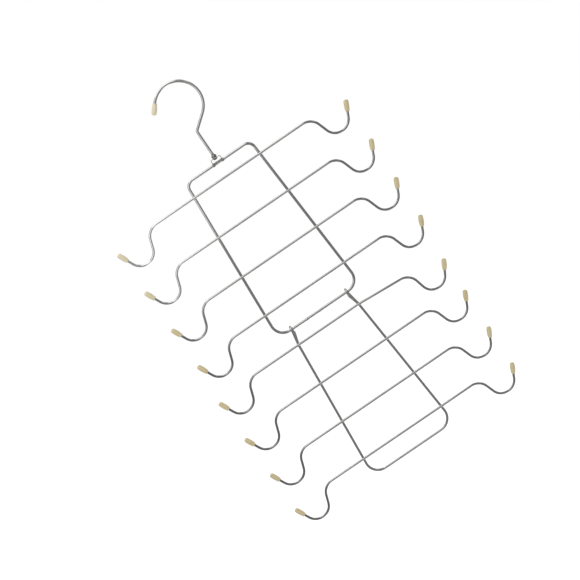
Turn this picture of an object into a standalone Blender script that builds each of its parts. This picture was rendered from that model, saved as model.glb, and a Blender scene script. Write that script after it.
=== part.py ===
"""A folding drying hanger of bent and welded wire.

A swivelling hook carries an upper frame with four crossbars. A lower frame with four more hangs
from the upper frame's bottom bar by two wire eyes and folds about it. Metres, Z up, the front of
the hanger towards -Y. The origin is where a rail touches the inside of the hook's crown.
"""
import bmesh
import bpy
from math import asin, ceil, cos, pi, radians, sin, sqrt, tan
from mathutils import Vector

# Wire gauges
HOOK_WIRE = 0.0030
UPPER_WIRE = 0.0030
LOWER_WIRE = 0.0027
BAR_WIRE = 0.0026

# Clearance between pieces that are welded to, threaded on or pushed over each other
GAP = 0.0003

# Hook: inner diameter, centre above the neck's bend, bend radius, shank below the bend, sweep of the crook
HOOK_INSIDE = 0.045
HOOK_RISE = 0.0308
NECK_RADIUS = 0.0045
SHANK_LENGTH = 0.0314
HOOK_SWEEP = radians(192)

# Bead and rivet head that hold the saddle's top between them: how far both stand out past the wire,
# the bead's upright foot under its round top, and the rivet head's height
BEAD_SHOULDER = 0.00125
BEAD_FOOT = 0.0008
RIVET_SHOULDER = 0.0009
RIVET_HEIGHT = 0.0014

# Saddle: a strip bent into a closed ring that stands on the top bar, outer length and height
SADDLE_LENGTH = 0.0115
SADDLE_HEIGHT = 0.0044
SADDLE_WIDTH = 0.0056
SADDLE_SHEET = 0.0008
SADDLE_SEAM = 0.0004
SADDLE_RADIUS = 0.0013

# Upper frame, measured between wire centres, widths at the sharp corners
UPPER_HEIGHT = 0.1853
UPPER_TOP_WIDTH = 0.0772
UPPER_BOTTOM_WIDTH = 0.1012
UPPER_TOP_RADIUS = 0.0076
UPPER_BOTTOM_RADIUS = 0.0138

# Lower frame: height below the fold axis, how much wider its bottom is than the upper frame's,
# and the legs' spread from the eyes to the first bar
LOWER_HEIGHT = 0.1823
LOWER_FLARE = 0.0014
LOWER_RADIUS = 0.0150
LEG_SPREAD = 0.0029

# Eyes of the lower frame: turn of the wire round the bar, the bend that leads into the tail, and how
# far round the leg the tail lies, from its inner side towards its back
EYE_TURN = radians(235)
TAIL_RADIUS = 0.0025
TAIL_ROUND = radians(84)

# Crossbars: where the outer ones sit in each frame, and how many share it evenly
BARS_PER_FRAME = 4
UPPER_FIRST_BAR = 0.0156
UPPER_LAST_BAR = 0.0284
LOWER_FIRST_BAR = 0.0161
LOWER_LAST_BAR = 0.0232

# Sideways set of the bars in each frame, as welded
UPPER_BAR_SET = 0.0027
LOWER_BAR_SET = -0.0012

# Crossbar shape: straight middle, shoulder bend, slope, dip bend, and the free wire before the cap
BAR_STRAIGHT = 0.1776
SHOULDER_RADIUS = 0.0143
SHOULDER_ANGLE = radians(71)
SLOPE_LENGTH = 0.0097
DIP_RADIUS = 0.0137
DIP_ANGLE = radians(137.4)
TIP_LENGTH = 0.0057

# The fifth bar's right arm is bent down a little outside the frame
DROOP_ANGLE = radians(4)
DROOP_RADIUS = 0.0100
DROOP_BAR = 5

# Vinyl cap: length, diameters of belly, mouth and shoulder, thickness of the closed end
CAP_LENGTH = 0.0118
CAP_DIAMETER = 0.0054
CAP_MOUTH = 0.0045
CAP_SHOULDER = 0.0050
CAP_END = 0.0015

# Places along the cap from its closed end: the dome's foot, where the belly starts and ends, the neck
CAP_DOME = 0.0016
CAP_BELLY_START = 0.0043
CAP_BELLY_END = 0.0067
CAP_NECK = 0.0099

# Fineness of the solids. A round wire's sides are counted round its section.
BEND_STEP = radians(12)
EYE_STEP = radians(20)
CAP_SIDES = 12
TURNED_SIDES = 16
FRAME_WIRE_SIDES = 12
BAR_WIRE_SIDES = 8

# Sizes that follow
HOOK_RADIUS = (HOOK_INSIDE + HOOK_WIRE) / 2
HOOK_LEAN = asin(HOOK_RADIUS / HOOK_RISE)
EYE_RADIUS = (UPPER_WIRE + LOWER_WIRE) / 2 + GAP
CAP_BORE_DEPTH = CAP_LENGTH - CAP_END
CAP_GRIP = CAP_BORE_DEPTH - GAP
LOWER_BOTTOM_WIDTH = UPPER_BOTTOM_WIDTH + LOWER_FLARE
TAIL_INSET = (LOWER_WIRE + GAP) * cos(TAIL_ROUND)
TAIL_Y = -EYE_RADIUS + (LOWER_WIRE + GAP) * sin(TAIL_ROUND)

HOOK_CENTRE_Z = -HOOK_INSIDE / 2
NECK_Z = HOOK_CENTRE_Z - HOOK_RISE
SADDLE_TOP_Z = NECK_Z - SHANK_LENGTH
TOP_BAR_Z = SADDLE_TOP_Z - SADDLE_HEIGHT - GAP - UPPER_WIRE / 2

UPPER_BAR_Y = -(UPPER_WIRE + BAR_WIRE) / 2 - GAP
LOWER_BAR_Y = -EYE_RADIUS - (LOWER_WIRE + BAR_WIRE) / 2 - GAP


def new_collection(name):
    collection = bpy.data.collections.new(name)
    bpy.context.scene.collection.children.link(collection)
    return collection


def new_material(name, colour, metallic, roughness):
    material = bpy.data.materials.new(name)
    material.use_nodes = True
    shader = material.node_tree.nodes["Principled BSDF"]
    shader.inputs["Base Color"].default_value = (*colour, 1.0)
    shader.inputs["Metallic"].default_value = metallic
    shader.inputs["Roughness"].default_value = roughness
    return material


def new_axis(name, location, parent=None):
    """An empty on a joint's axis. What turns with the joint hangs under it."""
    axis = bpy.data.objects.new(name, None)
    axis.empty_display_size = 0.02
    axis.location = location
    axis.parent = parent
    hanger.objects.link(axis)
    return axis


def place(name, data, material, parent=None, location=(0, 0, 0), turn_y=0.0):
    piece = bpy.data.objects.new(name, data)
    piece.location = location
    piece.rotation_euler = (0, turn_y, 0)
    piece.parent = parent
    if not data.materials:
        data.materials.append(material)
    hanger.objects.link(piece)
    return piece


class FlatWire:
    """A wire laid out in the XZ plane as straight runs and round bends."""

    def __init__(self, start, heading):
        self.points = [Vector((start[0], 0, start[1]))]
        self.heading = heading

    def straight(self, length):
        run = Vector((cos(self.heading), 0, sin(self.heading)))
        self.points.append(self.points[-1] + run * length)

    def bend(self, angle, radius):
        """Turns the heading by the angle, anticlockwise seen from the front when it is positive."""
        side = 1 if angle > 0 else -1
        start = self.points[-1]
        to_centre = self.heading + side * pi / 2
        centre = start + Vector((cos(to_centre), 0, sin(to_centre))) * radius
        steps = max(1, ceil(abs(angle) / BEND_STEP))
        for i in range(1, steps + 1):
            spoke = to_centre + pi + angle * i / steps
            self.points.append(centre + Vector((cos(spoke), 0, sin(spoke))) * radius)
        self.heading += angle


def corner_reach(before, corner, after, radius):
    """Distance from a sharp corner to where its rounding starts."""
    turn = (corner - before).angle(after - corner)
    return radius * tan(turn / 2)


def rounded_corner(before, corner, after, radius):
    """Points of the arc that replaces a sharp corner."""
    arrive = (corner - before).normalized()
    leave = (after - corner).normalized()
    turn = arrive.angle(leave)
    start = corner - arrive * corner_reach(before, corner, after, radius)
    inward = (leave - arrive * arrive.dot(leave)).normalized()
    steps = max(1, ceil(turn / BEND_STEP))
    points = []
    for i in range(steps + 1):
        angle = turn * i / steps
        points.append(start + arrive * radius * sin(angle) + inward * radius * (1 - cos(angle)))
    return points


def rounded_line(corners, radii):
    """A line through sharp corners, each rounded to its own radius. A corner with none stays sharp."""
    points = []
    count = len(corners)
    for i, corner in enumerate(corners):
        if radii[i] == 0:
            points.append(corner)
            continue
        points += rounded_corner(corners[i - 1], corner, corners[(i + 1) % count], radii[i])
    return points


def wire_curve(name, points, diameter, sides, closed=False):
    """A round wire along the points. Its section has 4 sides, and 2 more for each step of resolution."""
    curve = bpy.data.curves.new(name, "CURVE")
    curve.dimensions = "3D"
    curve.bevel_depth = diameter / 2
    curve.bevel_resolution = (sides - 4) // 2
    curve.use_fill_caps = not closed
    spline = curve.splines.new("POLY")
    spline.points.add(len(points) - 1)
    for spot, point in zip(spline.points, points):
        spot.co = (*point, 1)
    spline.use_cyclic_u = closed
    return curve


def flat_curve(name, outline, thickness):
    """A closed outline, filled and thickened both ways."""
    curve = bpy.data.curves.new(name, "CURVE")
    curve.dimensions = "2D"
    curve.fill_mode = "BOTH"
    curve.extrude = thickness / 2
    spline = curve.splines.new("POLY")
    spline.points.add(len(outline) - 1)
    for spot, (x, y) in zip(spline.points, outline):
        spot.co = (x, y, 0, 1)
    spline.use_cyclic_u = True
    return curve


def mesh_from_curve(curve_object):
    """The curve's solid as a welded mesh in world space. The curve itself is removed."""
    bpy.context.view_layer.update()
    evaluated = curve_object.evaluated_get(bpy.context.evaluated_depsgraph_get())
    mesh = bpy.data.meshes.new_from_object(evaluated)
    mesh.transform(curve_object.matrix_world)
    welded = bmesh.new()
    welded.from_mesh(mesh)
    bmesh.ops.remove_doubles(welded, verts=welded.verts, dist=0.000001)
    welded.to_mesh(mesh)
    welded.free()
    mesh.name = curve_object.name
    curve = curve_object.data
    bpy.data.objects.remove(curve_object)
    bpy.data.curves.remove(curve)
    return mesh


def turned(name, profile):
    """A mesh line to be turned about Z. It runs down the outer side, from top to bottom."""
    mesh = bpy.data.meshes.new(name)
    line = bmesh.new()
    spots = [line.verts.new((x, 0, z)) for x, z in profile]
    for first, second in zip(spots, spots[1:]):
        line.edges.new((first, second))
    line.to_mesh(mesh)
    line.free()
    return mesh


def add_screw(piece, sides):
    screw = piece.modifiers.new("Turn", "SCREW")
    screw.axis = "Z"
    screw.steps = sides
    screw.render_steps = sides
    screw.use_merge_vertices = True
    screw.merge_threshold = 0.00001
    screw.use_smooth_shade = True
    return screw


def add_boolean(piece, other, operation):
    boolean = piece.modifiers.new(operation.title(), "BOOLEAN")
    boolean.operation = operation
    boolean.object = other
    boolean.solver = "EXACT"


def hide_guide(guide):
    guide.hide_render = True
    guide.display_type = "WIRE"
    for collection in list(guide.users_collection):
        collection.objects.unlink(guide)
    guides.objects.link(guide)


def rod_cutter(name, radius, length, location):
    bpy.ops.mesh.primitive_cylinder_add(vertices=TURNED_SIDES, radius=radius, depth=length, location=location)
    cutter = bpy.context.object
    cutter.name = name
    hide_guide(cutter)
    return cutter


def arc_profile(centre_z, radius, height, first, last, steps):
    """Points of an upright ellipse's side, from one angle to another, measured from the top."""
    points = []
    for i in range(steps + 1):
        angle = first + (last - first) * i / steps
        points.append((radius * sin(angle), centre_z + height * cos(angle)))
    return points


def place_cap(name, wire, end, turn_y, parent=None):
    """A closed vinyl sleeve on a wire of that diameter. Its height 0 is at the wire's end."""
    bore = wire / 2 + GAP
    top = GAP + CAP_END
    mouth = -CAP_GRIP
    belly = CAP_DIAMETER / 2
    lip = max(CAP_MOUTH / 2, bore + GAP)
    lip_bevel = (lip - bore) / 2
    profile = arc_profile(top - CAP_DOME, CAP_SHOULDER / 2, CAP_DOME, 0, pi / 2, 4)
    profile += [
        (belly, top - CAP_BELLY_START),
        (belly, top - CAP_BELLY_END),
        ((belly + lip) / 2, top - CAP_NECK),
        (lip, mouth + lip_bevel),
        (lip - lip_bevel, mouth),
        (bore, mouth),
        (bore, GAP),
        (0, GAP),
    ]
    cap = place(name, turned(name, profile), cream_vinyl, parent, end, turn_y)
    add_screw(cap, CAP_SIDES)


def make_hook():
    """The hook's wire, with the bead and the rivet head that trap the saddle's top between them."""
    neck_reach = NECK_RADIUS * tan(HOOK_LEAN / 2)
    slope = sqrt(HOOK_RISE ** 2 - HOOK_RADIUS ** 2)
    radius = HOOK_WIRE / 2
    bead = radius + BEAD_SHOULDER
    bead_bottom = SADDLE_TOP_Z + GAP
    wire_start = bead_bottom + bead / 2
    line = FlatWire((0, wire_start), pi / 2)
    line.straight(NECK_Z - wire_start - neck_reach)
    line.bend(-HOOK_LEAN, NECK_RADIUS)
    line.straight(slope - neck_reach)
    line.bend(HOOK_SWEEP, HOOK_RADIUS)
    line.straight(CAP_GRIP + GAP)
    curve = wire_curve("hook", line.points, HOOK_WIRE, FRAME_WIRE_SIDES)
    wire = place("hook_wire", curve, plated_wire)
    hook = place("hook", mesh_from_curve(wire), plated_wire)
    rivet_top = SADDLE_TOP_Z - SADDLE_SHEET - GAP
    rivet_radius = radius + RIVET_SHOULDER
    profile = arc_profile(bead_bottom + BEAD_FOOT, bead, bead, 0, pi / 2, 6)
    profile += [(bead, bead_bottom), (radius, bead_bottom), (radius, rivet_top), (rivet_radius, rivet_top)]
    profile += arc_profile(rivet_top - RIVET_HEIGHT / 3, rivet_radius, RIVET_HEIGHT * 2 / 3, pi / 2, pi, 3)
    swivel = place("swivel_end", turned("swivel_end", profile), plated_wire)
    add_screw(swivel, TURNED_SIDES)
    add_boolean(hook, swivel, "UNION")
    hide_guide(swivel)
    place_cap("hook_cap", HOOK_WIRE, line.points[-1], pi / 2 - line.heading)


def strip_outline(line, thickness):
    """Outline of a strip with that centre line, from flat points."""
    sides = ([], [])
    last = len(line) - 1
    for i, point in enumerate(line):
        before = (point - line[i - 1]).normalized() if i > 0 else None
        after = (line[i + 1] - point).normalized() if i < last else None
        along = ((before or after) + (after or before)).normalized()
        across = Vector((-along.y, along.x))
        stretch = 1 / along.dot(before or after)
        for outline, side in zip(sides, (1, -1)):
            outline.append(point + across * side * stretch * thickness / 2)
    return sides[0] + sides[1][::-1]


def make_saddle(swivel_axis):
    """The strip bent into a closed ring, welded on the top bar, whose top carries the hook's shank."""
    half = (SADDLE_LENGTH - SADDLE_SHEET) / 2
    foot = UPPER_WIRE / 2 + GAP + SADDLE_SHEET / 2
    top = foot + SADDLE_HEIGHT - SADDLE_SHEET
    corners = [Vector(corner) for corner in (
        (SADDLE_SEAM / 2, foot, 0),
        (half, foot, 0),
        (half, top, 0),
        (-half, top, 0),
        (-half, foot, 0),
        (-SADDLE_SEAM / 2, foot, 0),
    )]
    line = rounded_line(corners, [0, SADDLE_RADIUS, SADDLE_RADIUS, SADDLE_RADIUS, SADDLE_RADIUS, 0])
    outline = strip_outline([point.xy for point in line], SADDLE_SHEET)
    strip = place("saddle_strip", flat_curve("saddle_strip", outline, SADDLE_WIDTH), plated_sheet)
    strip.rotation_euler = (pi / 2, 0, 0)
    saddle = place("saddle", mesh_from_curve(strip), plated_sheet, swivel_axis)
    shank_hole = rod_cutter("shank_hole", HOOK_WIRE / 2 + GAP, 4 * SADDLE_SHEET, (0, 0, TOP_BAR_Z + top))
    add_boolean(saddle, shank_hole, "DIFFERENCE")


def upper_corners():
    top, bottom = UPPER_TOP_WIDTH / 2, UPPER_BOTTOM_WIDTH / 2
    return [Vector(corner) for corner in (
        (-top, 0, 0),
        (-bottom, 0, -UPPER_HEIGHT),
        (bottom, 0, -UPPER_HEIGHT),
        (top, 0, 0),
    )]


def make_upper_frame(swivel_axis):
    radii = [UPPER_TOP_RADIUS, UPPER_BOTTOM_RADIUS, UPPER_BOTTOM_RADIUS, UPPER_TOP_RADIUS]
    line = rounded_line(upper_corners(), radii)
    curve = wire_curve("upper_frame", line, UPPER_WIRE, FRAME_WIRE_SIDES, closed=True)
    place("upper_frame", curve, plated_wire, swivel_axis)


def eye_place():
    """Half the distance between the eyes: they sit where the bottom bar's corners begin."""
    _, bottom_left, bottom_right, top_right = upper_corners()
    reach = corner_reach(bottom_left, bottom_right, top_right, UPPER_BOTTOM_RADIUS)
    return bottom_right.x - reach - LOWER_WIRE / 2


def eye_points(eye_x):
    """The right eye, from the leg's top in front of the bar, over it, down behind and back to the tail."""
    steps = ceil(EYE_TURN / EYE_STEP)
    turn = []
    for i in range(1, steps + 1):
        angle = EYE_TURN * i / steps
        inset = TAIL_INSET * i / steps
        turn.append(Vector((eye_x - inset, -EYE_RADIUS * cos(angle), EYE_RADIUS * sin(angle))))
    return turn


def make_lower_frame(fold_axis):
    """One wire: tail, eye, leg, bottom bar, leg, eye and tail, with both halves alike."""
    eye_x = eye_place()
    leg_x = eye_x + LEG_SPREAD
    front = -EYE_RADIUS
    corner = Vector((LOWER_BOTTOM_WIDTH / 2, front, -LOWER_HEIGHT))
    knee = Vector((leg_x, front, -LOWER_FIRST_BAR))
    middle = Vector((0, front, -LOWER_HEIGHT))
    half = rounded_corner(middle, corner, knee, LOWER_RADIUS)
    half += [knee, Vector((eye_x, front, 0))]
    turn = eye_points(eye_x)
    half += turn
    leave = Vector((0, sin(EYE_TURN), cos(EYE_TURN)))
    run = (TAIL_Y - turn[-1].y) / leave.y
    lean = LEG_SPREAD / LOWER_FIRST_BAR
    foot_z = turn[-1].z + leave.z * run
    foot = Vector((eye_x - TAIL_INSET - lean * foot_z, TAIL_Y, foot_z))
    tail_end = Vector((leg_x - TAIL_INSET, TAIL_Y, -LOWER_FIRST_BAR))
    half += rounded_corner(turn[-1], foot, tail_end, TAIL_RADIUS)
    half.append(tail_end)
    mirrored = [Vector((-point.x, point.y, point.z)) for point in reversed(half)]
    curve = wire_curve("lower_frame", mirrored + half, LOWER_WIRE, FRAME_WIRE_SIDES)
    place("lower_frame", curve, plated_wire, fold_axis)


def arm_line(droop, inner):
    """Half a crossbar, from its middle out to the wire's end under the cap."""
    line = FlatWire((0, 0), 0)
    straight = BAR_STRAIGHT / 2
    if droop:
        line.straight(inner)
        line.bend(-droop, DROOP_RADIUS)
        straight -= inner + DROOP_RADIUS * droop
    line.straight(straight)
    line.bend(-SHOULDER_ANGLE, SHOULDER_RADIUS)
    line.straight(SLOPE_LENGTH)
    line.bend(DIP_ANGLE, DIP_RADIUS)
    line.straight(TIP_LENGTH + CAP_GRIP)
    return line


def make_crossbar(number, height, bar_y, set_x, axis):
    """A straight bar with an S-shaped arm and a capped tip at each end, welded on the frame's front."""
    droop = DROOP_ANGLE if number == DROOP_BAR else 0
    right = arm_line(droop, eye_place() + LEG_SPREAD)
    left = arm_line(0, 0)
    points = [Vector((-point.x, 0, point.z)) for point in reversed(left.points)] + right.points[1:]
    curve = wire_curve(f"crossbar_{number}", points, BAR_WIRE, BAR_WIRE_SIDES)
    bar_at = Vector((set_x, bar_y, height))
    place(f"crossbar_{number}", curve, plated_wire, axis, bar_at)
    for side, line, sign in (("left", left, -1), ("right", right, 1)):
        end = line.points[-1]
        spot = bar_at + Vector((sign * end.x, 0, end.z))
        place_cap(f"cap_{number}_{side}", BAR_WIRE, spot, sign * (pi / 2 - line.heading), axis)


def bar_heights(first, last_gap, height):
    """Heights of a frame's crossbars below its top, evenly shared between the outer two."""
    pitch = (height - first - last_gap) / (BARS_PER_FRAME - 1)
    return [-(first + pitch * i) for i in range(BARS_PER_FRAME)]


for old in list(bpy.data.objects):
    bpy.data.objects.remove(old)

hanger = new_collection("drying_hanger")
guides = new_collection("guides")
plated_wire = new_material("plated_wire", (0.55, 0.56, 0.56), 1.0, 0.22)
plated_sheet = new_material("plated_sheet", (0.62, 0.62, 0.61), 1.0, 0.3)
cream_vinyl = new_material("cream_vinyl", (0.55, 0.48, 0.31), 0.0, 0.55)

make_hook()
swivel_axis = new_axis("swivel_axis", (0, 0, TOP_BAR_Z))
fold_axis = new_axis("fold_axis", (0, 0, -UPPER_HEIGHT), swivel_axis)
make_saddle(swivel_axis)
make_upper_frame(swivel_axis)
make_lower_frame(fold_axis)
for i, height in enumerate(bar_heights(UPPER_FIRST_BAR, UPPER_LAST_BAR, UPPER_HEIGHT)):
    make_crossbar(1 + i, height, UPPER_BAR_Y, UPPER_BAR_SET, swivel_axis)
for i, height in enumerate(bar_heights(LOWER_FIRST_BAR, LOWER_LAST_BAR, LOWER_HEIGHT)):
    make_crossbar(1 + BARS_PER_FRAME + i, height, LOWER_BAR_Y, LOWER_BAR_SET, fold_axis)
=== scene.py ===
"""A folding drying hanger of bright plated wire, hung over a pale floor in soft studio light.

The front of the hanger is towards -Y and up is +Z. Metres. The origin is inside the hook's crown.
"""

from math import asin, ceil, cos, pi, radians, sin, sqrt, tan

import bpy
from mathutils import Matrix, Vector


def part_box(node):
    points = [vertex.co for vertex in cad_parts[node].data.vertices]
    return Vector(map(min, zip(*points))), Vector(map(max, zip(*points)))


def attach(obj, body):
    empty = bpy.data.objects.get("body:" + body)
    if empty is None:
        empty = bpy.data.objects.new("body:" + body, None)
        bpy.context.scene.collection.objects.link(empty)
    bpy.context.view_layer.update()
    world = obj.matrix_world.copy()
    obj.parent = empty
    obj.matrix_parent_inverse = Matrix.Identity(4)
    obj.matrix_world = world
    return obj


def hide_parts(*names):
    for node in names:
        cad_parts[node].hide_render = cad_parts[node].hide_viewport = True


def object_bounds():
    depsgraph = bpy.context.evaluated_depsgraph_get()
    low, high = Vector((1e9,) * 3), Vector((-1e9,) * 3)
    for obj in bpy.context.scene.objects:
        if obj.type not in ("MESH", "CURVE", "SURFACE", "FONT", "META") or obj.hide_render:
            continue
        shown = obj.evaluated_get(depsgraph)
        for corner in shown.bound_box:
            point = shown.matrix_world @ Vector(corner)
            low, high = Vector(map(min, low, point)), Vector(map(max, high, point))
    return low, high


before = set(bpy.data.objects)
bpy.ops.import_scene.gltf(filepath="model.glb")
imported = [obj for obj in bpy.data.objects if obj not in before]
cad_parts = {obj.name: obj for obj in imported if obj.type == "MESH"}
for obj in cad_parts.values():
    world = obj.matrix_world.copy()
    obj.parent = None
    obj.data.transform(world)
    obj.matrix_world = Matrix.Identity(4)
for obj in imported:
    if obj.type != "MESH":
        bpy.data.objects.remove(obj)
cad_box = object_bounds()


# The camera stands where the photograph's did: a little above the hanger, a long lens, and turned
# about its own axis, so that the hanger lies slanting in the picture.
CAMERA_AIM = Vector((-0.01285, 0.0, -0.24062))
CAMERA_DISTANCE = 1.3852
CAMERA_AZIMUTH = radians(0.727)
CAMERA_ELEVATION = radians(13.358)
CAMERA_ROLL = radians(-34.446)
CAMERA_LENS = 83.88
CAMERA_SENSOR = 36.0

camera_data = bpy.data.cameras.new("camera")
camera_data.lens = CAMERA_LENS
camera_data.sensor_width = CAMERA_SENSOR
camera = bpy.data.objects.new("camera", camera_data)
bpy.context.scene.collection.objects.link(camera)
camera_back = Vector((
    sin(CAMERA_AZIMUTH) * cos(CAMERA_ELEVATION),
    -cos(CAMERA_AZIMUTH) * cos(CAMERA_ELEVATION),
    sin(CAMERA_ELEVATION),
))
camera_turn = Matrix.Rotation(CAMERA_AZIMUTH, 4, "Z") @ Matrix.Rotation(pi / 2 - CAMERA_ELEVATION, 4, "X")
camera.matrix_world = (Matrix.Translation(CAMERA_AIM + camera_back * CAMERA_DISTANCE)
                       @ camera_turn @ Matrix.Rotation(CAMERA_ROLL, 4, "Z"))
bpy.context.scene.camera = camera


# The room: a plain pale floor and a soft even light. The bright wire mirrors a studio that is dim in
# front and at the sides, with a lit backdrop and a pale strip below. A wide soft lamp hangs overhead,
# and a smaller one stands by the hook and the first arms. Pairs say where a level starts and ends.
ROOM_LIGHT = 1.06
ROOM_WHITE = 1.0
DIM_LEVEL = 0.26
BACKDROP_LEVEL = 1.18
BACKDROP_SIDES = 0.336
BACKDROP_FALL = radians(13.4)
BACKDROP_EDGE = (0.684, 0.844)
BACKDROP_ENDS = (0.729, 0.929)
BELOW_LEVEL = 1.387
BELOW_EDGE = (0.666, 1.066)
BELOW_ENDS = (0.076, 0.276)
SIDE_LAMP_LEVEL = 0.479
SIDE_LAMP_LEAN = radians(54.7)
SIDE_LAMP_SPREAD = radians(10.3)
SIDE_LAMP_FOOT = (0.2, 0.45)
HORIZON = 0.001
DOWNWARDS = Vector((0, 0, -1))
LAMP_PLACE = Vector((-0.077, -0.1875, 0.296))
LAMP_LENGTH = 0.448
LAMP_WIDTH = 0.805
LAMP_BRIGHTNESS = 1.211
CORNER_LAMP_PLACE = Vector((-0.26, -0.23, -0.02))
CORNER_LAMP_AIM = Vector((-0.09, 0.0, -0.08))
CORNER_LAMP_SIZE = 0.36
CORNER_LAMP_BRIGHTNESS = 0.88
FLOOR_DROP = 0.04
FLOOR_SIZE = 60.0
FLOOR_COLOUR = (0.95, 0.95, 0.945, 1.0)
FLOOR_PALER = (0.96, 0.96, 0.96, 1.0)
FLOOR_GRAIN = 6.0
WHITE = (1.0, 1.0, 1.0, 1.0)


class Value:
    """A node's output. Sums, differences and products of values add their Math nodes."""

    def __init__(self, nodes, socket):
        self.nodes = nodes
        self.socket = socket

    def math(self, operation, *values):
        return self.nodes.add("Math", {"operation": operation}, 0, values)

    def __add__(self, other):
        return self.math("ADD", self, other)

    def __radd__(self, other):
        return self.math("ADD", other, self)

    def __sub__(self, other):
        return self.math("SUBTRACT", self, other)

    def __rsub__(self, other):
        return self.math("SUBTRACT", other, self)

    def __mul__(self, other):
        return self.math("MULTIPLY", self, other)

    def __rmul__(self, other):
        return self.math("MULTIPLY", other, self)

    def __abs__(self):
        return self.math("ABSOLUTE", self)

    def step(self, low, high):
        """0 below low, 1 above high, and a smooth rise between them."""
        return self.nodes.add("MapRange", {"interpolation_type": "SMOOTHSTEP"}, 0, (self, low, high))


class Nodes:
    """A node tree and the one way that nodes are added to it."""

    def __init__(self, tree):
        self.tree = tree
        tree.nodes.clear()

    def add(self, kind, settings=None, output=0, values=(), **sockets):
        """Adds a node and returns one of its outputs. Its settings are set first. Values fill its first
        sockets in their order, and the others are named, with underscores for spaces."""
        node = self.tree.nodes.new("ShaderNode" + kind)
        for name, value in (settings or {}).items():
            setattr(node, name, value)
        filled = list(zip(node.inputs, values))
        for name, value in sockets.items():
            label = name.replace("_", " ")
            slot = next(slot for slot in node.inputs if slot.enabled and slot.name == label)
            filled.append((slot, value))
        for slot, value in filled:
            if isinstance(value, Value):
                self.tree.links.new(value.socket, slot)
            else:
                slot.default_value = value
        if output is None:
            return None
        return Value(self, node.outputs[output])

    def mix(self, amount, first, second):
        """A mix of two colours."""
        return self.add("Mix", {"data_type": "RGBA"}, 2, Factor=amount, A=first, B=second)

    def near(self, place, spot, inner, outer):
        """1 within the inner reach of a spot, and 0 beyond the outer one."""
        away = self.add("VectorMath", {"operation": "DISTANCE"}, "Value", (place, spot))
        return 1.0 - away.step(inner, outer)


def seen_by(kind):
    """1 for rays of that kind, and 0 for all the others."""
    return sky.add("LightPath", output=kind)


world = bpy.data.worlds.new("studio")
bpy.context.scene.world = world
world.use_nodes = True
sky = Nodes(world.node_tree)
towards = sky.add("TexCoord", output="Generated")
side = sky.add("SeparateXYZ", output="X", Vector=towards)
depth = sky.add("SeparateXYZ", output="Y", Vector=towards)
height = sky.add("SeparateXYZ", output="Z", Vector=towards)
behind = (depth * cos(BACKDROP_FALL) - height * sin(BACKDROP_FALL)).step(*BACKDROP_EDGE)
below = (0.0 - height).step(*BELOW_EDGE) * (1.0 - abs(side).step(*BELOW_ENDS))
lean = side.math("ARCTAN2", side, height.math("MAXIMUM", height, HORIZON))
side_lamp = (1.0 - abs(lean - SIDE_LAMP_LEAN).step(0.0, SIDE_LAMP_SPREAD)) * height.step(*SIDE_LAMP_FOOT)
backdrop = BACKDROP_LEVEL + (BACKDROP_SIDES - BACKDROP_LEVEL) * abs(side).step(*BACKDROP_ENDS)
mirrored = DIM_LEVEL + (backdrop - DIM_LEVEL) * behind
mirrored = mirrored + (BELOW_LEVEL - mirrored) * below + SIDE_LAMP_LEVEL * side_lamp
plain = seen_by("Is Camera Ray") * (ROOM_WHITE - ROOM_LIGHT) + ROOM_LIGHT
glossy = seen_by("Is Glossy Ray")
room_light = glossy * mirrored + (1.0 - glossy) * plain
background = sky.add("Background", Color=WHITE, Strength=room_light)
sky.add("OutputWorld", output=None, Surface=background)
bpy.context.scene.view_settings.view_transform = "Standard"


def soft_lamp(name, place, heading, length, width, brightness):
    """A flat lamp that the wires mirror at that brightness. The camera doesn't see it."""
    lamp_data = bpy.data.lights.new(name, "AREA")
    lamp_data.shape = "RECTANGLE"
    lamp_data.size = length
    lamp_data.size_y = width
    lamp_data.energy = brightness * length * width * pi
    lamp = bpy.data.objects.new(name, lamp_data)
    lamp.location = place
    lamp.rotation_euler = heading.to_track_quat("-Z", "Y").to_euler()
    lamp.visible_camera = False
    bpy.context.scene.collection.objects.link(lamp)


soft_lamp("overhead", LAMP_PLACE, DOWNWARDS, LAMP_LENGTH, LAMP_WIDTH, LAMP_BRIGHTNESS)
soft_lamp("corner", CORNER_LAMP_PLACE, CORNER_LAMP_AIM - CORNER_LAMP_PLACE,
          CORNER_LAMP_SIZE, CORNER_LAMP_SIZE, CORNER_LAMP_BRIGHTNESS)

bpy.ops.object.select_all(action="DESELECT")
bpy.ops.mesh.primitive_plane_add(size=FLOOR_SIZE, location=(0, 0, cad_box[0].z - FLOOR_DROP))
floor = bpy.context.object
floor.name = "floor"
paint = bpy.data.materials.new("floor_paint")
paint.use_nodes = True
coat = Nodes(paint.node_tree)
floor_place = coat.add("TexCoord", output="Object")
floor_grain = coat.add("TexNoise", Scale=FLOOR_GRAIN, Detail=2.0, Vector=floor_place)
floor_tone = coat.mix(floor_grain, FLOOR_COLOUR, FLOOR_PALER)
coat.add("OutputMaterial", output=None, Surface=coat.add("BsdfDiffuse", Color=floor_tone))
floor.data.materials.append(paint)
floor.visible_glossy = False


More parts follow.
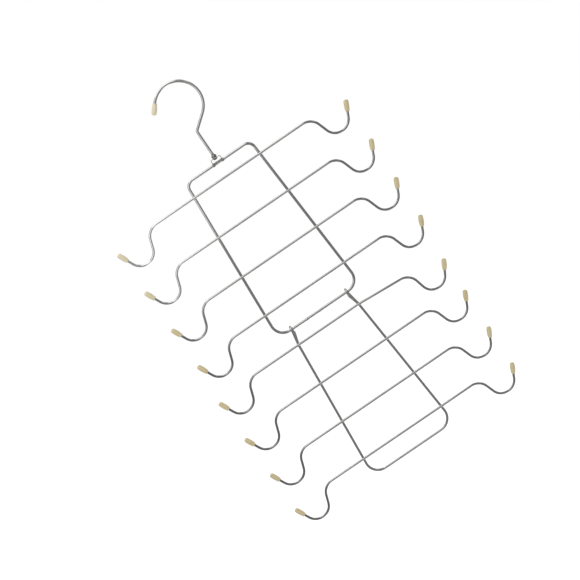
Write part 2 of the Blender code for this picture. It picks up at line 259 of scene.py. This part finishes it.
# The hook is one bright plated steel wire, bent cold: a straight shank, a sloping neck and a round
# crook. A bead and a rivet head are upset on the shank, and the saddle turns between them.
HOOK_WIRE = 0.0030
HOOK_INSIDE = 0.045
HOOK_RISE = 0.0308
NECK_RADIUS = 0.0045
SHANK_LENGTH = 0.0314
HOOK_SWEEP = radians(192)
BEAD_SHOULDER = 0.00125
BEAD_FOOT = 0.0008
BEAD_EDGE = 0.0003
BEAD_STEPS = 12
BEAD_DULL = 0.0040
EDGE_TURNS = (30, 60, 90)
RIVET_SHOULDER = 0.0009
RIVET_HEIGHT = 0.0014
RIVET_TIP = 0.0008
RIVET_TURNS = (24, 38, 52, 65, 78, 90)
RIVET_EDGE = 0.0001
PLAY = 0.0003
SADDLE_SHEET = 0.0008
CAP_GRIP = 0.0100
FRONT = Vector((0, -1, 0))
UP = Vector((0, 0, 1))
WIRE_SIDES = 24
BEND_STEP = radians(6)
SHARP_EDGE = radians(50)
STREAK_SCALE = (70.0, 2600.0, 2600.0)
STREAK_EDGE = (0.3, 0.7)
CLOUD_SCALE = 120.0
CLOUD_EDGE = (0.42, 0.68)
SPECK_SCALE = 2200.0
SPECK_EDGE = (0.68, 0.76)
PLATING_DEPTH = 0.00002
LIGHT_PART = 1.05
DARK_PART = 0.93
SPECK_PART = 0.65
UPSET_PART = 0.42
UPSET_FADE = 1.15
UPSET_ROUGHER = 0.25
# A painted glow of light on the plating round a spot on the upper left:
PAINTED_GLOW_SPOT = (-0.135, 0.0, -0.10)
PAINTED_GLOW_REACH = (0.03, 0.15)
PAINTED_GLOW_GAIN = 0.42
# Painted shade on the arms: where it starts, how low it starts on the left, and how dark it is on each
# side.
ARM_START = (0.085, 0.110)
LOW_START = (0.17, 0.26)
LEFT_PAINTED_SHADE = 0.24
RIGHT_PAINTED_SHADE = 0.08
HOOK_TONE = (0.69, 0.685, 0.675)


class Wire:
    """A length of round wire, drawn out in edit mode as by hand: a disc is pushed along each straight
    and spun round each bend. The end disc stays selected, and its place and heading are kept."""

    def __init__(self, name, diameter, start, heading, sides=WIRE_SIDES):
        bpy.ops.object.select_all(action="DESELECT")
        self.end = Vector(start)
        self.heading = Vector(heading).normalized()
        self.radius = diameter / 2
        self.sides = sides
        self.bend_step = BEND_STEP
        self.begin(UP.rotation_difference(self.heading).to_euler())
        self.piece = bpy.context.object
        self.piece.name = name
        self.piece.data.name = name
        bpy.ops.object.transform_apply(location=True, rotation=True, scale=True)
        bpy.ops.object.mode_set(mode="EDIT")

    def begin(self, turn):
        bpy.ops.mesh.primitive_circle_add(vertices=self.sides, radius=self.radius, fill_type="NGON",
                                          location=self.end, rotation=turn)

    def push(self, length, radius=None):
        """Pushes the end along its heading, and swells or thins it to a new radius."""
        step = self.heading * length
        bpy.ops.mesh.extrude_region_move(TRANSFORM_OT_translate={"value": step})
        self.end += step
        if radius is not None:
            size = radius / self.radius
            bpy.ops.transform.resize(value=(size, size, size), center_override=self.end)
            self.radius = radius

    def bend(self, angle, radius, axis=FRONT):
        """Spins the end about an axis beside it, anticlockwise seen against the axis if it is positive."""
        inward = axis.cross(self.heading) * (1 if angle > 0 else -1)
        self.swing(angle, self.end + inward * radius, axis, ceil(abs(angle) / self.bend_step))

    def swing(self, angle, centre, axis, steps):
        bpy.ops.mesh.spin(steps=steps, angle=-angle, center=centre, axis=axis)
        turn = Matrix.Rotation(angle, 3, axis)
        self.end = centre + turn @ (self.end - centre)
        self.heading = turn @ self.heading

    def round_corner(self, corner, following, radius):
        """Runs straight towards a sharp corner and bends round it towards the next point."""
        direction = (following - corner).normalized()
        angle = self.heading.angle(direction)
        self.push((corner - self.end).length - radius * tan(angle / 2))
        self.bend(angle, radius, self.heading.cross(direction).normalized())

    def drift(self, step):
        """Moves the end sideways, as a coil moves along its bar."""
        bpy.ops.transform.translate(value=step)
        self.end += step

    def open_ends(self):
        """Takes both end discs off, where the wire is to be joined to itself."""
        bpy.ops.mesh.select_all(action="DESELECT")
        bpy.ops.mesh.select_face_by_sides(number=4, type="GREATER")
        bpy.ops.mesh.delete(type="ONLY_FACE")

    def finish(self, material, sharp=SHARP_EDGE):
        """Leaves edit mode. Each point keeps its place in the straight wire, for the drawn streaks."""
        bpy.ops.mesh.select_all(action="SELECT")
        bpy.ops.mesh.normals_make_consistent(inside=False)
        bpy.ops.object.mode_set(mode="OBJECT")
        mesh = self.piece.data
        drawn = mesh.attributes.new("drawn", "FLOAT_VECTOR", "POINT")
        run = 0.0
        last = None
        for first in range(0, len(mesh.vertices), self.sides):
            ring = [mesh.vertices[first + i].co for i in range(self.sides)]
            middle = sum(ring, Vector()) / self.sides
            run += (middle - last).length if last is not None else 0.0
            last = middle
            for i, point in enumerate(ring):
                spoke = 2 * pi * i / self.sides
                reach = (point - middle).length
                drawn.data[first + i].vector = (run, reach * cos(spoke), reach * sin(spoke))
        bpy.ops.object.shade_smooth_by_angle(angle=sharp)
        mesh.materials.append(material)
        return self.piece


def shade(tone, part):
    """A part of a metal's tone, as a colour."""
    return tuple(min(1.0, channel * part) for channel in tone) + (1.0,)


def plated_metal(name, tone, roughness, streak=0.10, cloud=0.05, dull_spot=None):
    """Bright plating over drawn steel: fine streaks along the wire, faint clouds and small dull specks.
    A painted glow of light makes it palest round the first arm on the left, and painted shade darkens the
    other arms, most of all low down on the left. It is duller round a spot where the metal was upset,
    given by its place and reach."""
    material = bpy.data.materials.new(name)
    material.use_nodes = True
    shop = Nodes(material.node_tree)
    drawn = shop.add("Attribute", {"attribute_name": "drawn"}, "Vector")
    place = shop.add("TexCoord", output="Object")
    along = shop.add("Mapping", Vector=drawn, Scale=STREAK_SCALE)
    streaks = shop.add("TexNoise", Vector=along, Scale=1.0, Detail=3.0, Roughness=0.6)
    clouds = shop.add("TexNoise", Vector=place, Scale=CLOUD_SCALE, Detail=4.0, Roughness=0.55)
    specks = shop.add("TexNoise", Vector=place, Scale=SPECK_SCALE, Detail=1.0).step(*SPECK_EDGE)
    dull = clouds.step(*CLOUD_EDGE)
    worn = streaks.step(*STREAK_EDGE) * 0.5 + dull * 0.5
    colour = shop.mix(worn, shade(tone, LIGHT_PART), shade(tone, DARK_PART))
    colour = shop.mix(specks * 0.6, colour, shade(tone, SPECK_PART))
    across = shop.add("SeparateXYZ", output="X", Vector=place)
    drop = 0.0 - shop.add("SeparateXYZ", output="Z", Vector=place)
    # Painted shade: the arms are darkened, low down on the left and all along the right.
    left = (0.0 - across).step(*ARM_START) * drop.step(*LOW_START)
    right = across.step(*ARM_START)
    # Painted glow: the plating is made paler round a spot on the upper left, standing in for light.
    painted_glow = shop.near(place, PAINTED_GLOW_SPOT, *PAINTED_GLOW_REACH)
    painted_light_and_shade = 1.0 + painted_glow * PAINTED_GLOW_GAIN - left * LEFT_PAINTED_SHADE - right * RIGHT_PAINTED_SHADE
    colour = shop.add("VectorMath", {"operation": "SCALE"}, "Vector", Vector=colour, Scale=painted_light_and_shade)
    rough = roughness + (streaks - 0.5) * streak + dull * cloud + specks * 0.2
    if dull_spot is not None:
        spot, reach = dull_spot
        upset = shop.near(place, spot, reach, reach * UPSET_FADE)
        colour = shop.mix(upset, colour, shade(tone, UPSET_PART))
        rough = rough + upset * UPSET_ROUGHER
    bump = shop.add("Bump", Strength=0.3, Distance=PLATING_DEPTH, Height=streaks + clouds * 0.5)
    metal = shop.add("BsdfPrincipled", Base_Color=colour, Metallic=1.0, Roughness=rough, Normal=bump)
    shop.add("OutputMaterial", output=None, Surface=metal)
    return material


hook_radius = (HOOK_INSIDE + HOOK_WIRE) / 2
hook_lean = asin(hook_radius / HOOK_RISE)
neck_height = -HOOK_INSIDE / 2 - HOOK_RISE
neck_reach = NECK_RADIUS * tan(hook_lean / 2)
saddle_top = neck_height - SHANK_LENGTH
shank_radius = HOOK_WIRE / 2
rivet_top = saddle_top - SADDLE_SHEET - PLAY
rivet_radius = shank_radius + RIVET_SHOULDER
bead_radius = shank_radius + BEAD_SHOULDER
bead_foot = saddle_top + PLAY
dull_bead = ((0, 0, bead_foot), BEAD_DULL)
hook_metal = plated_metal("hook_plating", HOOK_TONE, roughness=0.20, dull_spot=dull_bead)
hook = Wire("hook_wire", RIVET_TIP, (0, 0, rivet_top - RIVET_HEIGHT), UP)
for turn in RIVET_TURNS:
    level = rivet_top - RIVET_HEIGHT * (1 + 2 * cos(radians(turn))) / 3
    hook.push(level - hook.end.z, rivet_radius * sin(radians(turn)))
hook.push(rivet_top - RIVET_EDGE - hook.end.z, rivet_radius)
hook.push(RIVET_EDGE, rivet_radius - 2 * RIVET_EDGE)
hook.push(0.0, shank_radius)
hook.push(bead_foot - hook.end.z)
hook.push(0.0, bead_radius - BEAD_EDGE)
for turn in EDGE_TURNS:
    level = bead_foot + BEAD_EDGE * (1 - cos(radians(turn)))
    hook.push(level - hook.end.z, bead_radius - BEAD_EDGE * (1 - sin(radians(turn))))
bead_top = asin(shank_radius / bead_radius)
for i in range(BEAD_STEPS + 1):
    turn = pi / 2 - (pi / 2 - bead_top) * i / BEAD_STEPS
    level = bead_foot + BEAD_FOOT + bead_radius * cos(turn)
    hook.push(level - hook.end.z, bead_radius * sin(turn))
hook.push(neck_height - neck_reach - hook.end.z)
hook.bend(-hook_lean, NECK_RADIUS)
hook.push(sqrt(HOOK_RISE ** 2 - hook_radius ** 2) - neck_reach)
hook.bend(HOOK_SWEEP, hook_radius)
hook.push(CAP_GRIP + PLAY)
hook_piece = hook.finish(hook_metal)
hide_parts("hook")
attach(hook_piece, "hook")


# The tip of the hook wears the same dipped vinyl sleeve as the arms do. It is cream coloured, a
# little barrel shaped, with a soft rolled mouth and a round end, and only pushed on.
CAP_END = 0.0015
CAP_BELLY = 0.0027
CAP_MOUTH = 0.00225
CAP_SHOULDER = 0.0025
CAP_DOME = 0.0019
CAP_SIDES = 32
CAP_SHARP = radians(60)
MOUTH_ROUND = 0.0003
MOUTH_ROLL = ((0.0001, -0.00008), (0.0003, 0.00004), (0.0006, 0.0))
BELLY_STEPS = 10
BELLY_LOW = 0.9
DOME_TURNS = (15, 30, 45, 60, 72, 82)
CREAM = (0.455, 0.385, 0.222, 1)
DARK_CREAM = (0.40, 0.333, 0.18, 1)
PALE_CREAM = (0.48, 0.418, 0.26, 1)
# Paler cream for a painted sheen of light round the hook and the first arms:
SHEEN_CREAM = (0.48, 0.435, 0.305, 1)
MOTTLE_SCALE = 260.0
MOTTLE_EDGE = (0.35, 0.7)
PATCH_SCALE = 18.0
PATCH_EDGE = (0.45, 0.62)
SKIN_SCALE = 1500.0
SKIN_DEPTH = 0.00006
# Where the painted sheen lies on the vinyl, and how far it reaches:
CAP_SHEEN_SPOT = (-0.10, 0.0, -0.04)
CAP_SHEEN_REACH = (0.09, 0.19)


def dipped_cap(name, bore, material):
    """A sleeve that stands on the wire's end. The wire's end is at height 0 and the mouth is below.
    It is drawn down its bore, round its mouth and up its outside."""
    cap = Wire(name, 2 * bore, (0, 0, PLAY), -UP, CAP_SIDES)
    cap.push(CAP_GRIP + PLAY - MOUTH_ROUND)
    cap.push(MOUTH_ROUND * 2 / 3, bore + MOUTH_ROUND / 3)
    cap.push(MOUTH_ROUND / 3, (bore + CAP_MOUTH) / 2)
    cap.heading = UP.copy()
    for rise, swell in MOUTH_ROLL:
        cap.push(rise, CAP_MOUTH + swell)
    foot = cap.end.z
    shoulder = PLAY + CAP_END - CAP_DOME
    for i in range(1, BELLY_STEPS + 1):
        share = i / BELLY_STEPS
        bulge = sin(pi * share ** BELLY_LOW) * (CAP_BELLY - (CAP_MOUTH + CAP_SHOULDER) / 2)
        radius = CAP_MOUTH + (CAP_SHOULDER - CAP_MOUTH) * share + bulge
        cap.push(foot + (shoulder - foot) * share - cap.end.z, radius)
    for turn in DOME_TURNS:
        level = shoulder + CAP_DOME * sin(radians(turn))
        cap.push(level - cap.end.z, CAP_SHOULDER * cos(radians(turn)))
    return cap.finish(material, CAP_SHARP)


def vinyl():
    """Soft cream vinyl: satin, faintly mottled, with a fine dimpled skin. A painted sheen of light makes
    it paler by the hook and the first arms on the left."""
    material = bpy.data.materials.new("cream_vinyl")
    material.use_nodes = True
    shop = Nodes(material.node_tree)
    place = shop.add("TexCoord", output="Object")
    mottle = shop.add("TexNoise", Vector=place, Scale=MOTTLE_SCALE, Detail=4.0, Roughness=0.6)
    patches = shop.add("TexNoise", Vector=place, Scale=PATCH_SCALE, Detail=2.0)
    skin = shop.add("TexNoise", Vector=place, Scale=SKIN_SCALE, Detail=2.0)
    colour = shop.mix(mottle.step(*MOTTLE_EDGE), CREAM, DARK_CREAM)
    colour = shop.mix(patches.step(*PATCH_EDGE) * 0.5, colour, PALE_CREAM)
    # Painted sheen: the cream is made paler round the hook and the first arms on the left.
    painted_sheen = shop.near(place, CAP_SHEEN_SPOT, *CAP_SHEEN_REACH) * (0.6 + mottle * 0.4)
    colour = shop.mix(painted_sheen, colour, SHEEN_CREAM)
    bump = shop.add("Bump", Strength=0.3, Distance=SKIN_DEPTH, Height=skin + mottle)
    satin = shop.add("BsdfPrincipled", Base_Color=colour, Roughness=0.42 + mottle * 0.2, Normal=bump)
    shop.add("OutputMaterial", output=None, Surface=satin)
    return material


def move_piece(piece, matrix):
    """Puts a finished piece in its place and leaves the place in its mesh."""
    bpy.ops.object.select_all(action="DESELECT")
    piece.select_set(True)
    bpy.context.view_layer.objects.active = piece
    piece.matrix_world = matrix
    bpy.ops.object.transform_apply(location=True, rotation=True, scale=True)


def stand_on(end, heading):
    """The turn and move that stand an upright piece on a wire's end."""
    return Matrix.Translation(end) @ UP.rotation_difference(heading).to_matrix().to_4x4()


cream = vinyl()
hook_cap = dipped_cap("hook_tip_cap", (HOOK_WIRE + PLAY) / 2, cream)
move_piece(hook_cap, stand_on(hook.end, hook.heading))
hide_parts("hook_cap")
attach(hook_cap, "hook")


# The saddle is a narrow strip of bright sheet bent into a closed ring. It stands on the top bar, welded
# to it under both lower corners, and the shank turns in a punched hole in its top.
UPPER_WIRE = 0.0030
SADDLE_LENGTH = 0.0115
SADDLE_HEIGHT = 0.0044
SADDLE_WIDTH = 0.0056
SADDLE_SEAM = 0.0004
SADDLE_RADIUS = 0.0013
SADDLE_EDGE = 0.00012
SADDLE_BEND_STEP = radians(10)
HOLE_SIDES = 32
CORNER_WELD_REACH = 0.0014
CORNER_WELD_RISE = 0.00035
CORNER_WELD_SHAPE = ((0.25, 0.6), (0.3, 0.95), (0.45, 1.0), (0.45, 0.95), (0.3, 0.6), (0.25, 0.0))
WELD_SIDES = 16
SHEET_TONE = (0.74, 0.74, 0.73)
WELD_TONE = (0.40, 0.385, 0.38)


class Strip(Wire):
    """A strip of sheet, pushed and bent in the same way. Its width lies along Y."""

    def begin(self, turn):
        bpy.ops.mesh.primitive_plane_add(size=1, location=self.end, rotation=turn)
        bpy.context.object.scale = (SADDLE_SHEET, SADDLE_WIDTH, 1)


def join_pieces(piece, others):
    """Joins welds to the piece that they belong to."""
    bpy.ops.object.select_all(action="DESELECT")
    for other in others:
        other.select_set(True)
    piece.select_set(True)
    bpy.context.view_layer.objects.active = piece
    bpy.ops.object.join()


def punch(piece, radius, depth, centre):
    """Punches a round upright hole."""
    bpy.ops.object.select_all(action="DESELECT")
    bpy.ops.mesh.primitive_cylinder_add(vertices=HOLE_SIDES, radius=radius, depth=depth, location=centre)
    tool = bpy.context.object
    tool.select_set(False)
    piece.select_set(True)
    bpy.context.view_layer.objects.active = piece
    hole = piece.modifiers.new("hole", "BOOLEAN")
    hole.solver = "EXACT"
    hole.object = tool
    bpy.ops.object.modifier_apply(modifier=hole.name)
    bpy.data.meshes.remove(tool.data)


sheet_metal = plated_metal("sheet_plating", SHEET_TONE, roughness=0.20, streak=0.08)
weld_metal = plated_metal("weld_plating", WELD_TONE, roughness=0.36, streak=0.06, cloud=0.14)
top_bar = saddle_top - SADDLE_HEIGHT - PLAY - UPPER_WIRE / 2
saddle_foot = top_bar + UPPER_WIRE / 2 + SADDLE_SHEET / 2
flat = SADDLE_LENGTH - SADDLE_SHEET - 2 * SADDLE_RADIUS
cheek = saddle_top - saddle_foot - SADDLE_SHEET / 2 - 2 * SADDLE_RADIUS
strip = Strip("saddle_strip", SADDLE_SHEET, (SADDLE_SEAM / 2, 0, saddle_foot), (1, 0, 0), sides=4)
strip.bend_step = SADDLE_BEND_STEP
strip.push((flat - SADDLE_SEAM) / 2)
for run in (cheek, flat, cheek, (flat - SADDLE_SEAM) / 2):
    strip.bend(pi / 2, SADDLE_RADIUS)
    strip.push(run)
saddle = strip.finish(sheet_metal)
punch(saddle, HOOK_WIRE / 2 + PLAY, 4 * SADDLE_SHEET, (0, 0, saddle_top - SADDLE_SHEET / 2))
edges = saddle.modifiers.new("edges", "BEVEL")
edges.width = SADDLE_EDGE
edges.segments = 2
edges.limit_method = "ANGLE"
edges.angle_limit = SHARP_EDGE
bpy.ops.object.modifier_apply(modifier=edges.name)
corner_welds = []
for side_sign in (-1, 1):
    spot = Vector((side_sign * (flat / 2 + SADDLE_RADIUS) - CORNER_WELD_REACH, 0, top_bar))
    fillet = Wire("corner_weld", UPPER_WIRE, spot, (1, 0, 0), WELD_SIDES)
    for share, rise in CORNER_WELD_SHAPE:
        fillet.push(CORNER_WELD_REACH * share, UPPER_WIRE / 2 + CORNER_WELD_RISE * rise)
    corner_welds.append(fillet.finish(weld_metal))
join_pieces(saddle, corner_welds)
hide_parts("saddle")
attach(saddle, "upper")


# The upper frame is one wire bent into a trapezoid, small bends at the top and large ones below, and
# butt welded in its bottom bar, where a low ring of upset metal is left.
UPPER_HEIGHT = 0.1853
UPPER_TOP_WIDTH = 0.0772
UPPER_BOTTOM_WIDTH = 0.1012
UPPER_TOP_RADIUS = 0.0076
UPPER_BOTTOM_RADIUS = 0.0138
BUTT_WELD_X = -0.015
BUTT_WELD_RISE = 0.00022
BUTT_WELD_REACH = 0.0011
BUTT_WELD_FALL = ((0.35, 0.8), (0.35, 0.25), (0.3, 0.0))
BUTT_WELD_CLIMB = ((0.3, 0.25), (0.35, 0.8), (0.35, 1.0))
SEAM_MERGE = 0.00001
FRAME_TONE = (0.60, 0.60, 0.592)


def clean_seam(piece):
    """Closes the seam of a wire that is joined to itself."""
    bpy.ops.object.mode_set(mode="EDIT")
    bpy.ops.mesh.select_all(action="SELECT")
    bpy.ops.mesh.remove_doubles(threshold=SEAM_MERGE)
    bpy.ops.mesh.normals_make_consistent(inside=False)
    bpy.ops.object.mode_set(mode="OBJECT")


frame_metal = plated_metal("frame_plating", FRAME_TONE, roughness=0.17)
fold_height = top_bar - UPPER_HEIGHT
side_lean = (UPPER_BOTTOM_WIDTH - UPPER_TOP_WIDTH) / 2 / UPPER_HEIGHT
upper_radius = UPPER_WIRE / 2
weld_place = Vector((BUTT_WELD_X, 0, fold_height))
corners = [Vector(corner) for corner in (
    (UPPER_BOTTOM_WIDTH / 2, 0, fold_height),
    (UPPER_TOP_WIDTH / 2, 0, top_bar),
    (-UPPER_TOP_WIDTH / 2, 0, top_bar),
    (-UPPER_BOTTOM_WIDTH / 2, 0, fold_height),
)]
radii = (UPPER_BOTTOM_RADIUS, UPPER_TOP_RADIUS, UPPER_TOP_RADIUS, UPPER_BOTTOM_RADIUS)
upper = Wire("upper_frame_wire", UPPER_WIRE + 2 * BUTT_WELD_RISE, weld_place, (1, 0, 0))
for share, rise in BUTT_WELD_FALL:
    upper.push(BUTT_WELD_REACH * share, upper_radius + BUTT_WELD_RISE * rise)
for corner, following, radius in zip(corners, corners[1:] + [weld_place], radii):
    upper.round_corner(corner, following, radius)
upper.push(BUTT_WELD_X - BUTT_WELD_REACH - upper.end.x)
for share, rise in BUTT_WELD_CLIMB:
    upper.push(BUTT_WELD_REACH * share, upper_radius + BUTT_WELD_RISE * rise)
upper.open_ends()
upper_frame = upper.finish(frame_metal)
clean_seam(upper_frame)
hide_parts("upper_frame")
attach(upper_frame, "upper")


# The lower frame is one wire as well. It hangs from the upper frame's bottom bar by an eye at the
# top of each leg, whose tail comes down right behind the leg and ends at the first bar.
LOWER_WIRE = 0.0027
LOWER_HEIGHT = 0.1823
LOWER_BOTTOM_WIDTH = 0.1026
LOWER_RADIUS = 0.0150
LOWER_FIRST_BAR = 0.0161
LEG_SPREAD = 0.0029
KNEE_RADIUS = 0.030
EYE_TURN = radians(235)
EYE_STEPS = 24
TAIL_ROUND = radians(84)
TAIL_RADIUS = 0.0025
TAIL_BEND_STEP = radians(10)
TAIL_EDGE = 0.0003
MIRROR_MERGE = 0.00003

eye_radius = (UPPER_WIRE + LOWER_WIRE) / 2 + PLAY
corner_turn = pi / 2 + asin(side_lean / sqrt(1 + side_lean ** 2))
eye_x = UPPER_BOTTOM_WIDTH / 2 - UPPER_BOTTOM_RADIUS * tan(corner_turn / 2) - LOWER_WIRE / 2
leg_x = eye_x + LEG_SPREAD
tail_inset = (LOWER_WIRE + PLAY) * cos(TAIL_ROUND)
tail_y = -eye_radius + (LOWER_WIRE + PLAY) * sin(TAIL_ROUND)
lower_corner = Vector((LOWER_BOTTOM_WIDTH / 2, -eye_radius, fold_height - LOWER_HEIGHT))
knee = Vector((leg_x, -eye_radius, fold_height - LOWER_FIRST_BAR))
eye_foot = Vector((eye_x, -eye_radius, fold_height))
lower = Wire("lower_frame_wire", LOWER_WIRE, (0, -eye_radius, lower_corner.z), (1, 0, 0))
lower.round_corner(lower_corner, knee, LOWER_RADIUS)
lower.round_corner(knee, eye_foot, KNEE_RADIUS)
lower.push((eye_foot - lower.end).length)
for i in range(EYE_STEPS):
    hub = Vector((lower.end.x, 0, fold_height))
    lower.swing(-EYE_TURN / EYE_STEPS, hub, Vector((1, 0, 0)), 1)
    lower.drift(Vector((-tail_inset / EYE_STEPS, 0, 0)))
tail_run = (tail_y - lower.end.y) / lower.heading.y
tail_foot = lower.end + lower.heading * tail_run
tail_end = Vector((leg_x - tail_inset, tail_y, knee.z))
lower.bend_step = TAIL_BEND_STEP
lower.round_corner(tail_foot, tail_end, TAIL_RADIUS)
lower.push((tail_end - lower.end).length - TAIL_EDGE)
lower.push(TAIL_EDGE, LOWER_WIRE / 2 - TAIL_EDGE)
bpy.ops.mesh.select_all(action="SELECT")
bpy.ops.mesh.bisect(plane_co=(SEAM_MERGE, 0, 0), plane_no=(1, 0, 0), clear_inner=True)
lower_frame = lower.finish(frame_metal)
mirror = lower_frame.modifiers.new("other_half", "MIRROR")
mirror.use_mirror_merge = True
mirror.merge_threshold = MIRROR_MERGE
bpy.ops.object.modifier_apply(modifier=mirror.name)
clean_seam(lower_frame)
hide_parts("lower_frame")
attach(lower_frame, "lower")


# Eight crossbars of thinner wire lie across the fronts of the frames, four on each, spot welded where
# they cross. Each has an S-shaped arm at both ends. The fifth one's right arm is bent down a little.
BAR_WIRE = 0.0026
BAR_STRAIGHT = 0.1776
SHOULDER_RADIUS = 0.0143
SHOULDER_ANGLE = radians(71)
SLOPE_LENGTH = 0.0097
DIP_RADIUS = 0.0137
DIP_ANGLE = radians(137.4)
TIP_LENGTH = 0.0057
DROOP_ANGLE = radians(4)
DROOP_RADIUS = 0.0100
DROOP_BAR = 5
BARS_PER_FRAME = 4
UPPER_BAR_SET = 0.0027
LOWER_BAR_SET = -0.0012
WELD_ROOT = 0.0013
WELD_NECK = 0.00115
WELD_WAIST = 0.00095
WELD_SHAPE = ((0.3, WELD_NECK), (0.45, WELD_WAIST), (0.55, WELD_WAIST), (0.7, WELD_NECK), (1.0, WELD_ROOT))
WELD_SINK = 0.2
BAR_TONE = (0.54, 0.54, 0.532)

bar_metal = plated_metal("bar_plating", BAR_TONE, roughness=0.16)
tip_heading = DIP_ANGLE - SHOULDER_ANGLE


def bent_bar(name, droop):
    """A crossbar about its own middle, and its right end and heading there."""
    bar = Wire(name, BAR_WIRE, (0, 0, 0), (cos(tip_heading), 0, -sin(tip_heading)))
    bar.push(TIP_LENGTH + CAP_GRIP)
    bar.bend(DIP_ANGLE, DIP_RADIUS)
    bar.push(SLOPE_LENGTH)
    bar.bend(-SHOULDER_ANGLE, SHOULDER_RADIUS)
    middle = bar.end + bar.heading * BAR_STRAIGHT / 2
    outer = BAR_STRAIGHT / 2
    bar.push(outer)
    if droop:
        bar.push(leg_x)
        bar.bend(-DROOP_ANGLE, DROOP_RADIUS)
        outer -= leg_x + DROOP_RADIUS * DROOP_ANGLE
    bar.push(outer)
    bar.bend(-SHOULDER_ANGLE, SHOULDER_RADIUS)
    bar.push(SLOPE_LENGTH)
    bar.bend(DIP_ANGLE, DIP_RADIUS)
    bar.push(TIP_LENGTH + CAP_GRIP)
    bpy.ops.mesh.select_all(action="SELECT")
    bpy.ops.transform.translate(value=-middle)
    return bar.finish(bar_metal), -middle, bar.end - middle, bar.heading.copy()


def weld(x, z, front, back):
    """A squeezed nugget between a bar and the wire behind it."""
    nugget = Wire("weld", 2 * WELD_ROOT, (x, front, z), (0, 1, 0), WELD_SIDES)
    for share, radius in WELD_SHAPE:
        nugget.push(front + (back - front) * share - nugget.end.y, radius)
    return nugget.finish(weld_metal)


def copy_piece(piece, name, matrix):
    """A copy with its own mesh, moved to its place."""
    bpy.ops.object.select_all(action="DESELECT")
    piece.select_set(True)
    bpy.context.view_layer.objects.active = piece
    bpy.ops.object.duplicate(linked=False)
    twin = bpy.context.object
    twin.name = name
    twin.data.name = name
    move_piece(twin, matrix)
    return twin


plain_bar = bent_bar("bar_pattern", False)
drooped_bar = bent_bar("drooped_bar_pattern", True)
tips = []
for number in range(1, 2 * BARS_PER_FRAME + 1):
    low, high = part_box(f"crossbar_{number}")
    on_upper = number <= BARS_PER_FRAME
    pattern, left_end, right_end, right_heading = drooped_bar if number == DROOP_BAR else plain_bar
    bar_set = UPPER_BAR_SET if on_upper else LOWER_BAR_SET
    bar_at = Vector((bar_set, (low.y + high.y) / 2, high.z - BAR_WIRE / 2))
    bar = copy_piece(pattern, f"bar_{number}", Matrix.Translation(bar_at))
    if on_upper:
        cross = UPPER_TOP_WIDTH / 2 + side_lean * (top_bar - bar_at.z)
        back = -UPPER_WIRE * WELD_SINK
    else:
        cross = leg_x + (lower_corner.x - leg_x) * (knee.z - bar_at.z) / (knee.z - lower_corner.z)
        back = -eye_radius - LOWER_WIRE * WELD_SINK
    front = bar_at.y + BAR_WIRE * WELD_SINK
    join_pieces(bar, [weld(x, bar_at.z, front, back) for x in (-cross, cross)])
    body = "upper" if on_upper else "lower"
    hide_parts(f"crossbar_{number}")
    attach(bar, body)
    left_heading = Vector((-cos(tip_heading), 0, sin(tip_heading)))
    tips.append((number, "left", bar_at + left_end, left_heading, body))
    tips.append((number, "right", bar_at + right_end, right_heading, body))
bpy.data.meshes.remove(plain_bar[0].data)
bpy.data.meshes.remove(drooped_bar[0].data)


# Sixteen cream vinyl sleeves are pushed on the arms' tips, so that straps don't slip or snag. They
# were dipped by the dozen, and no two came out quite alike.
DIP_GRAIN = 0.006
DIP_UNEVEN = 0.00012

cap_pattern = dipped_cap("cap_pattern", (BAR_WIRE + PLAY) / 2, cream)
uneven = bpy.data.textures.new("uneven_dip", "CLOUDS")
uneven.noise_scale = DIP_GRAIN
for number, side_name, end, heading, body in tips:
    cap = copy_piece(cap_pattern, f"tip_{number}_{side_name}", stand_on(end, heading))
    dip = cap.modifiers.new("dip", "DISPLACE")
    dip.texture = uneven
    dip.texture_coords = "LOCAL"
    dip.strength = DIP_UNEVEN
    bpy.ops.object.modifier_apply(modifier=dip.name)
    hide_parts(f"cap_{number}_{side_name}")
    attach(cap, body)
bpy.data.meshes.remove(cap_pattern.data)
